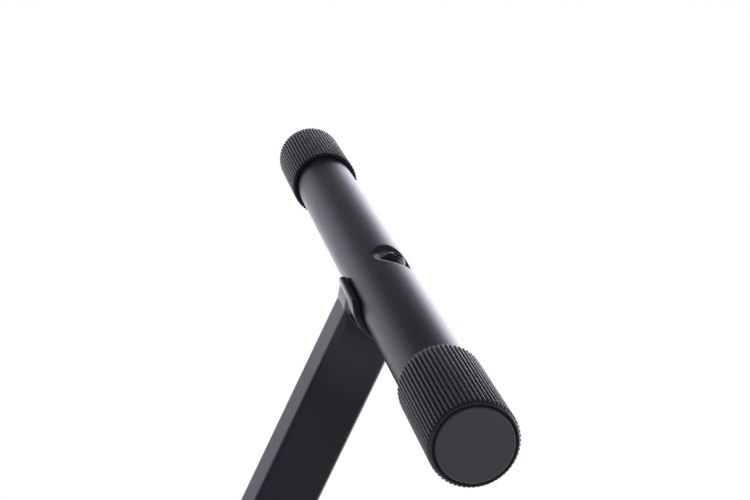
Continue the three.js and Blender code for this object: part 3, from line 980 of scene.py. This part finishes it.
class STAND_OT_saddles(bpy.types.Operator):
    """Makes the four moulded saddles that bed the tubes on the legs"""

    bl_idname = "keyboard_stand.saddles"
    bl_label = "Saddles"

    def execute(self, context):
        settings = context.scene.keyboard_stand
        shapes = [trough(settings.saddle), neck(settings.saddle, settings.leg)]
        shapes.append(spigot(settings.saddle, settings.leg))
        for tube, (side, level, _) in TUBE_ENDS.items():
            node = f"{side}_leg_{level}_saddle"
            place = tube_place(tube)
            outwards = 1 if side == "front" else -1
            meshes = [
                mesh_of(f"{node}_{i}", [Grid(place.put(shape * [1, outwards, 1]), lids=True)])
                for i, shape in enumerate(shapes)
            ]
            finished(node, combined(node, meshes, "UNION"))
        return {"FINISHED"}


# ---- bolts


def domed_bolt(sizes, tube):
    """A bolt about Z. The third value of its profile is how far a row is drawn from a circle to
    a hexagon, whose radius is cos 30 / cos(a) for a within 30 degrees of a side's middle."""
    seat = tube.radius - tube.dimple_depth + 0.1 * MM
    crown = seat + sizes.height
    dome = np.linspace(0.0, 0.36 * np.pi, 9)[1:]
    low = seat + 0.28 * sizes.height
    rise = (crown - low) / math.sin(dome[-1])
    shell = [(sizes.head * math.cos(t) ** 0.8, low + rise * math.sin(t), 0) for t in dome]
    corners = [
        (0, -sizes.end, 0),
        (sizes.shank - 0.8 * MM, -sizes.end, 0),
        (sizes.shank, 0.8 * MM - sizes.end, 0),
        (sizes.shank, seat, 0),
        (sizes.head - 0.2 * MM, seat, 0),
        (sizes.head, seat + 0.2 * MM, 0),
        (sizes.head, low, 0),
        *shell,
        (sizes.socket + 0.35 * MM, crown + 0.02 * MM, 0.3),
        (sizes.socket + 0.1 * MM, crown - 0.12 * MM, 0.95),
        (sizes.socket, crown - 0.4 * MM, 1),
        (sizes.socket, crown - sizes.socket_depth, 1),
        (0.4 * sizes.socket, crown - sizes.socket_depth - 0.1 * MM, 0.3),
        (0, crown - sizes.socket_depth - 0.6 * MM, 0),
    ]
    radius, height, share = columns_of(corners)
    turn = around(72)
    side = (turn + np.pi / 6) % (np.pi / 3) - np.pi / 6
    hexagon = math.cos(np.pi / 6) / np.cos(side)
    points = swept(radius * (1 - share + share * hexagon), height, turn, "z")
    return points, smooth_step(0.1, 0.9, 1 - np.abs(share - 0.6) / 0.6)


class STAND_OT_bolts(bpy.types.Operator):
    """Makes the four domed bolts sunk in the dimples"""

    bl_idname = "keyboard_stand.bolts"
    bl_label = "Domed bolts"

    def execute(self, context):
        settings = context.scene.keyboard_stand
        points, wear = domed_bolt(settings.bolt, settings.tube)
        for tube in TUBE_ENDS:
            node = f"{tube}_bolt"
            placed = tube_place(tube).put(points)
            finished(node, mesh_of(node, [Grid(placed, wear=wear)], sharp=30))
        return {"FINISHED"}


# ---- clutch


def clutch_disc(sizes, thickness):
    """A disc about Y with its back at y = 0. A tooth's height is its full height times the share
    (root - |a|) / (root - tip) of the angle a from the tooth's middle, held between 0 and 1 by a
    soft minimum and maximum. The profile's third value is how much of the teeth a row has."""
    body = thickness - sizes.tooth_height
    r, inner, pocket, bore = sizes.radius, sizes.inner, sizes.pocket, sizes.bore
    corners = [
        (bore, 0, 0, 0.3),
        (r - 0.9 * MM, 0, 0, 0.2),
        (r, 0.9 * MM, 0, 0.3),
        (r, body, 1, 0.05),
        (inner, body, 1, 0.6),
        (pocket + 0.4 * MM, body, 0.62, 0.1),
        (pocket, body - 0.4 * MM, 0.3, 0.1),
        (pocket, body - sizes.pocket_depth, 0, 0.3),
        (bore, body - sizes.pocket_depth, 0, 0.3),
    ]
    radius, place, full = lathed(corners, closed=True)
    pitch = 2 * np.pi / sizes.teeth
    turn = around(16 * sizes.teeth)
    off = np.abs((turn + pitch / 2) % pitch - pitch / 2)
    share = (sizes.root - off) / (sizes.root - sizes.tip)
    tooth = soft_min(soft_max(share, 0 * share, 0.1), 1 + 0 * share, 0.12)
    points = swept(radius, place + full * sizes.tooth_height * tooth, turn)
    return points, full * smooth_step(0.8, 1.0, tooth)


def weld_bead(sizes, leg, side_x):
    """A rippled bead along Z: a circle of radius b (1 + 0.1 |sin|) sqrt(1 - s^6), which closes at
    its ends, laid in the corner between the leg's edge and the back of the disc."""
    run = 0.8 * sizes.radius
    s = np.linspace(-1, 1, 90)[:, None]
    turn = around(14)
    ripple = 1 + 0.1 * np.abs(np.sin(s * run / (1.1 * MM)))
    radius = sizes.bead * ripple * np.sqrt(np.clip(1 - s**6, 0, None))
    x = side_x * (leg.width / 2 - 0.5 * MM) + radius * np.cos(turn)
    y = 0.7 * MM + radius * np.sin(turn)
    return np.stack([x, y, s * run + 0 * turn], axis=-1)


def coil_spring(sizes, front, rear):
    """A helix about Y. At an angle a its wire is a circle about the radius R and a height that
    climbs evenly with a, so x = (R + w cos t) cos a and z = (R + w cos t) sin a."""
    turn = np.linspace(0, 2 * np.pi * sizes.coils, 48 * sizes.coils)[:, None]
    t = around(16)
    climb = np.linspace(front + sizes.wire, rear - sizes.wire, len(turn))[:, None]
    radius = sizes.spring + sizes.wire * np.cos(t)
    y = climb + sizes.wire * np.sin(t)
    return np.stack([radius * np.cos(turn), y, radius * np.sin(turn)], axis=-1)


class STAND_OT_clutch(bpy.types.Operator):
    """Makes the toothed clutch discs, the spring between them and their weld beads"""

    bl_idname = "keyboard_stand.clutch"
    bl_label = "Toothed clutch"

    def execute(self, context):
        settings = context.scene.keyboard_stand
        sizes = settings.clutch
        for side, forwards in (("front", 1), ("rear", -1)):
            node = f"{side}_clutch_disc"
            leg, _ = leg_place(side)
            front, rear = reach(node)
            back = front if side == "front" else rear
            points, wear = clutch_disc(sizes, rear - front)
            # the rear disc is turned by half a tooth from the front one
            half_tooth = 0 if side == "front" else np.pi / sizes.teeth
            front_up = leg_place("front")[0].up
            lean = math.atan2(front_up[0], front_up[2]) + half_tooth
            place = Place([leg.origin[0], back, leg.origin[2]], [math.sin(lean), 0, math.cos(lean)])
            placed = place.put(points * [1, forwards, 1])
            finished(node, mesh_of(node, [Grid(placed, loop=True, wear=wear)], sharp=30))
            weld = Place([leg.origin[0], back, leg.origin[2]], leg.up)
            beads = [weld_bead(sizes, settings.leg, side_x) for side_x in (-1, 1)]
            grids = [Grid(weld.put(bead * [1, -forwards, 1])) for bead in beads]
            mesh = mesh_of(f"{side}_clutch_weld", grids, sharp=60)
            finished(f"{side}_leg_tube", mesh, name=f"{side}_clutch_weld")
        front, rear = reach("clutch_spring")
        place = pivot_place()
        coil = Grid(place.put(coil_spring(sizes, front, rear)), lids=True)
        spring = finished("clutch_spring", mesh_of("clutch_spring", [coil]))
        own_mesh(spring)
        return {"FINISHED"}


# ---- pivot bolt, washer and knob


def pivot_bolt(sizes, front, rear):
    """A bolt about Y with a cup head at the front. The third value of its profile draws a row
    from a circle to a square, whose radius is half its side / max(|sin a|, |cos a|)."""
    seat = front + sizes.head_height
    neck_end = seat + 2.2 * MM
    dome = np.linspace(0.5 * np.pi, 0.12, 12)
    low, rise = seat - 0.8 * MM, sizes.head_height - 0.8 * MM
    cup = [(sizes.head * math.cos(t), low - rise * math.sin(t), 0) for t in dome]
    half_neck = sizes.neck / 2 - 0.02 * MM
    corners = [
        *cup,
        (sizes.head, seat - 0.7 * MM, 0),
        (sizes.head, seat - 0.2 * MM, 0),
        (sizes.head - 0.2 * MM, seat, 0),
        (half_neck, seat, 1),
        (half_neck, neck_end, 1),
        (sizes.shank, neck_end, 0),
        (sizes.shank, rear - 1 * MM, 0),
        (sizes.shank - 1 * MM, rear, 0),
        (0, rear, 0),
    ]
    radius, place, share = columns_of(corners)
    turn = around(96)
    square = 1 / np.maximum(np.abs(np.sin(turn)), np.abs(np.cos(turn)))
    return swept(radius * (1 - share + share * square), place, turn)


def thrust_washer(inner, outer, front, rear):
    """A flat ring about Y with rounded edges."""
    corners = [(inner, front), (outer, front), (outer, rear), (inner, rear)]
    profile = rounded(corners, 0.45 * MM, closed=True)
    return turned(profile, 96)


def hand_knob(sizes, bore, front, rear):
    """A lobed knob about Y with its hub at the front. The outline's radius is the middle radius
    plus lobe cos(n a), and the third value of the profile is how far a row follows the lobes."""
    grip = front + sizes.hub_height
    middle_radius = sizes.knob
    corners = [
        # radius, place along Y, share of the lobes, rounding in millimetres
        (0, front + 22 * MM, 0, 0),
        (bore, front + 21.8 * MM, 0, 0.2),
        (bore, front + 16.6 * MM, 0, 0.1),
        (sizes.pocket, front + 16.6 * MM, 0, 0.1),
        (sizes.pocket, front, 0, 0.3),
        (sizes.hub, front, 0, 0.8),
        (sizes.hub, grip, 0, 1.5),
        (middle_radius, grip + 0.4 * MM, 1, 4.5),
        (middle_radius, rear - 1.2 * MM, 1, 5.5),
        (13.5 * MM, rear - 0.4 * MM, 0.15, 1),
        (12.6 * MM, rear - 1.1 * MM, 0, 0.3),
        (12.0 * MM, rear - 1.1 * MM, 0, 0.3),
        (11.6 * MM, rear - 0.3 * MM, 0, 0.6),
        (0, rear, 0, 0),
    ]
    radius, place, share = lathed(corners, steps=7)
    turn = around(240)
    lobes = sizes.lobe * np.cos(sizes.lobes * turn)
    points = swept(radius + share * lobes, place, turn)
    return points, share**2 * smooth_step(0.2, 1.0, lobes / sizes.lobe)


class STAND_OT_pivot(bpy.types.Operator):
    """Makes the pivot bolt, its thrust washer and the hand knob"""

    bl_idname = "keyboard_stand.pivot"
    bl_label = "Pivot and knob"

    def execute(self, context):
        settings = context.scene.keyboard_stand
        sizes, place = settings.pivot, pivot_place()
        bolt = place.put(pivot_bolt(sizes, *reach("pivot_bolt")))
        finished("pivot_bolt", mesh_of("pivot_bolt", [Grid(bolt)], sharp=30))
        low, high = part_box("thrust_washer")
        outer = (high.z - low.z) / 2
        ring = thrust_washer(settings.clutch.bore, outer, low.y, high.y)
        finished("thrust_washer", mesh_of("thrust_washer", [Grid(place.put(ring), loop=True)]))
        points, wear = hand_knob(sizes, settings.clutch.bore, *reach("hand_knob"))
        knob = Grid(place.put(points), wear=wear)
        finished("hand_knob", mesh_of("hand_knob", [knob], sharp=30))
        return {"FINISHED"}


class STAND_OT_hidden(bpy.types.Operator):
    """Gives the nut plates, sleeves and insert inside the stand their finishes"""

    bl_idname = "keyboard_stand.hidden"
    bl_label = "Inner pieces"

    def execute(self, context):
        for node in HIDDEN_NODES:
            made = frame["nodes"][node]
            if not made.material_slots:
                made.data.materials.append(None)
            made.material_slots[0].material = material(SLOT[node])
        return {"FINISHED"}


# ---- stage


def surroundings(x, y, z):
    """How bright the studio is in the direction (x, y, z): bright low at the back and right, dimmer
    at the left and in front, dark overhead, with a soft box high at the right."""
    across = x.between(-0.42, 0.40) * 2.3 + 0.56
    behind = y.between(-0.25, 0.5)
    low = behind * across + (1 - behind) * 0.2
    overhead = z.between(0.02, 0.27)
    soft_box = (x * 0.93 - y * 0.15 + z * 0.33).between(0.9, 0.98) * 1.8
    return low * (1 - overhead) + overhead * 0.04 + soft_box


def tinted(paint, seen):
    """White where it is seen, and faintly violet where it is reflected."""
    return paint.mix(seen, (1.0, 0.94, 1.1, 1.0), (1.0, 1.0, 1.0, 1.0))


def studio_world():
    """White to the camera, the studio to reflections, and a soft even grey to the rest."""
    world = bpy.data.worlds.new("studio")
    bpy.context.scene.world = world
    paint = Paint(world)
    direction = paint.node("ShaderNodeTexCoord", output="Generated")
    x, y, z = paint.outputs("ShaderNodeSeparateXYZ", "XYZ", (direction,))
    seen, glossy = paint.rays()
    level = glossy * surroundings(x, y, z) + (1 - glossy) * 0.45
    strength = seen + (1 - seen) * level
    inputs = {"Color": tinted(paint, seen), "Strength": strength}
    shader = paint.node("ShaderNodeBackground", None, inputs)
    paint.node("ShaderNodeOutputWorld", None, {"Surface": shader})


def floor_finish():
    """Pale card that keeps the shadow near the stand, and is white or the studio further out."""
    made = bpy.data.materials.new("floor_finish")
    paint = Paint(made)
    x, y = paint.outputs("ShaderNodeSeparateXYZ", "XY", (paint.position(),))
    distance = (x * x + y * y) ** 0.5
    seen, glossy = paint.rays()
    away = distance + 0.001
    studio = surroundings(x / away, y / away, 0 * x)
    strength = seen + (1 - seen) * studio
    inputs = {"Color": tinted(paint, seen), "Strength": strength}
    white = paint.node("ShaderNodeEmission", None, inputs)
    card = paint.node(
        "ShaderNodeBsdfDiffuse", None, {"Color": (0.95, 0.99, 0.87, 1.0), "Roughness": 0.5}
    )
    reach_out = distance.between(0.55, 1.35) * seen.math("MAXIMUM", seen, glossy)
    shader = paint.node("ShaderNodeMixShader", None, (reach_out, card, white))
    paint.node("ShaderNodeOutputMaterial", None, {"Surface": shader})
    return made


def floor_disc(radius):
    """A flat disc: rings whose radius grows as the square of the row."""
    return swept(np.linspace(0, 1, 24)[:, None] ** 2 * radius, 0.0, around(96), "z")


def soft_light(name, place, size, watts, tint):
    """A square area light that faces the middle of the stand and isn't seen in reflections."""
    data = bpy.data.lights.new(name, "AREA")
    data.size = size
    data.energy = watts
    data.color = tint
    light = bpy.data.objects.new(name, data)
    bpy.context.scene.collection.objects.link(light)
    light.location = place
    target = Vector((0, 0, 0.6)) - light.location
    light.rotation_euler = target.to_track_quat("-Z", "Y").to_euler()
    light.visible_camera = False
    light.visible_glossy = False


class STAND_OT_stage(bpy.types.Operator):
    """Sets the floor, the lights, the white surroundings and the camera"""

    bl_idname = "keyboard_stand.stage"
    bl_label = "Stage"

    def execute(self, context):
        scene = bpy.context.scene
        scene.view_settings.view_transform = "Standard"
        studio_world()

        floor = bpy.data.objects.new("floor", mesh_of("floor", [Grid(floor_disc(12.0))]))
        scene.collection.objects.link(floor)
        floor.data.materials.append(floor_finish())

        soft_light("right_light", (2.2, 1.2, 2.2), 1.4, 34, (0.97, 0.94, 1.05))
        soft_light("left_light", (-2.2, -0.8, 2.0), 1.6, 14, (0.97, 0.94, 1.05))
        soft_light("front_light", (0.4, -2.6, 1.6), 1.6, 14, (0.98, 0.97, 1.05))

        data = bpy.data.cameras.new("camera")
        data.sensor_width = 36.0
        data.lens = CAMERA_LENS
        camera = bpy.data.objects.new("camera", data)
        scene.collection.objects.link(camera)
        arm = middle("right_arm_tube")
        front, rear = reach("right_arm_front_cap")[0], reach("right_arm_rear_cap")[1]
        arm[1] = (front + rear) / 2
        camera.location = arm + CAMERA_FROM_ARM
        camera.rotation_euler = (math.radians(CAMERA_TILT), 0, math.radians(CAMERA_TURN))
        scene.camera = camera
        return {"FINISHED"}


# ---- add-on


OPERATORS = [
    STAND_OT_tubes,
    STAND_OT_legs,
    STAND_OT_caps,
    STAND_OT_saddles,
    STAND_OT_bolts,
    STAND_OT_clutch,
    STAND_OT_pivot,
    STAND_OT_hidden,
    STAND_OT_stage,
]
GROUPS = [TubeSizes, LegSizes, CapSizes, SaddleSizes, BoltSizes, ClutchSizes, PivotSizes]
GROUPS += [Finishes, StandSettings]


class STAND_PT_panel(bpy.types.Panel):
    """Lists the pieces of the stand and their sizes"""

    bl_idname = "STAND_PT_panel"
    bl_label = "Keyboard Stand"
    bl_space_type = "VIEW_3D"
    bl_region_type = "UI"
    bl_category = "Keyboard Stand"

    def draw(self, context):
        settings = context.scene.keyboard_stand
        for operator in OPERATORS:
            self.layout.operator(operator.bl_idname)
        for group in StandSettings.__annotations__:
            box = self.layout.box()
            box.label(text=group.capitalize())
            sizes = getattr(settings, group)
            for name in type(sizes).__annotations__:
                box.prop(sizes, name)


def register():
    for group in (*GROUPS, *OPERATORS, STAND_PT_panel):
        bpy.utils.register_class(group)
    bpy.types.Scene.keyboard_stand = PointerProperty(type=StandSettings)


def unregister():
    del bpy.types.Scene.keyboard_stand
    for group in reversed((*GROUPS, *OPERATORS, STAND_PT_panel)):
        bpy.utils.unregister_class(group)


def main():
    """Registers the add-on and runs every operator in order."""
    register()
    for operator in OPERATORS:
        group, name = operator.bl_idname.split(".")
        getattr(getattr(bpy.ops, group), name)()


if __name__ == "__main__":
    main()
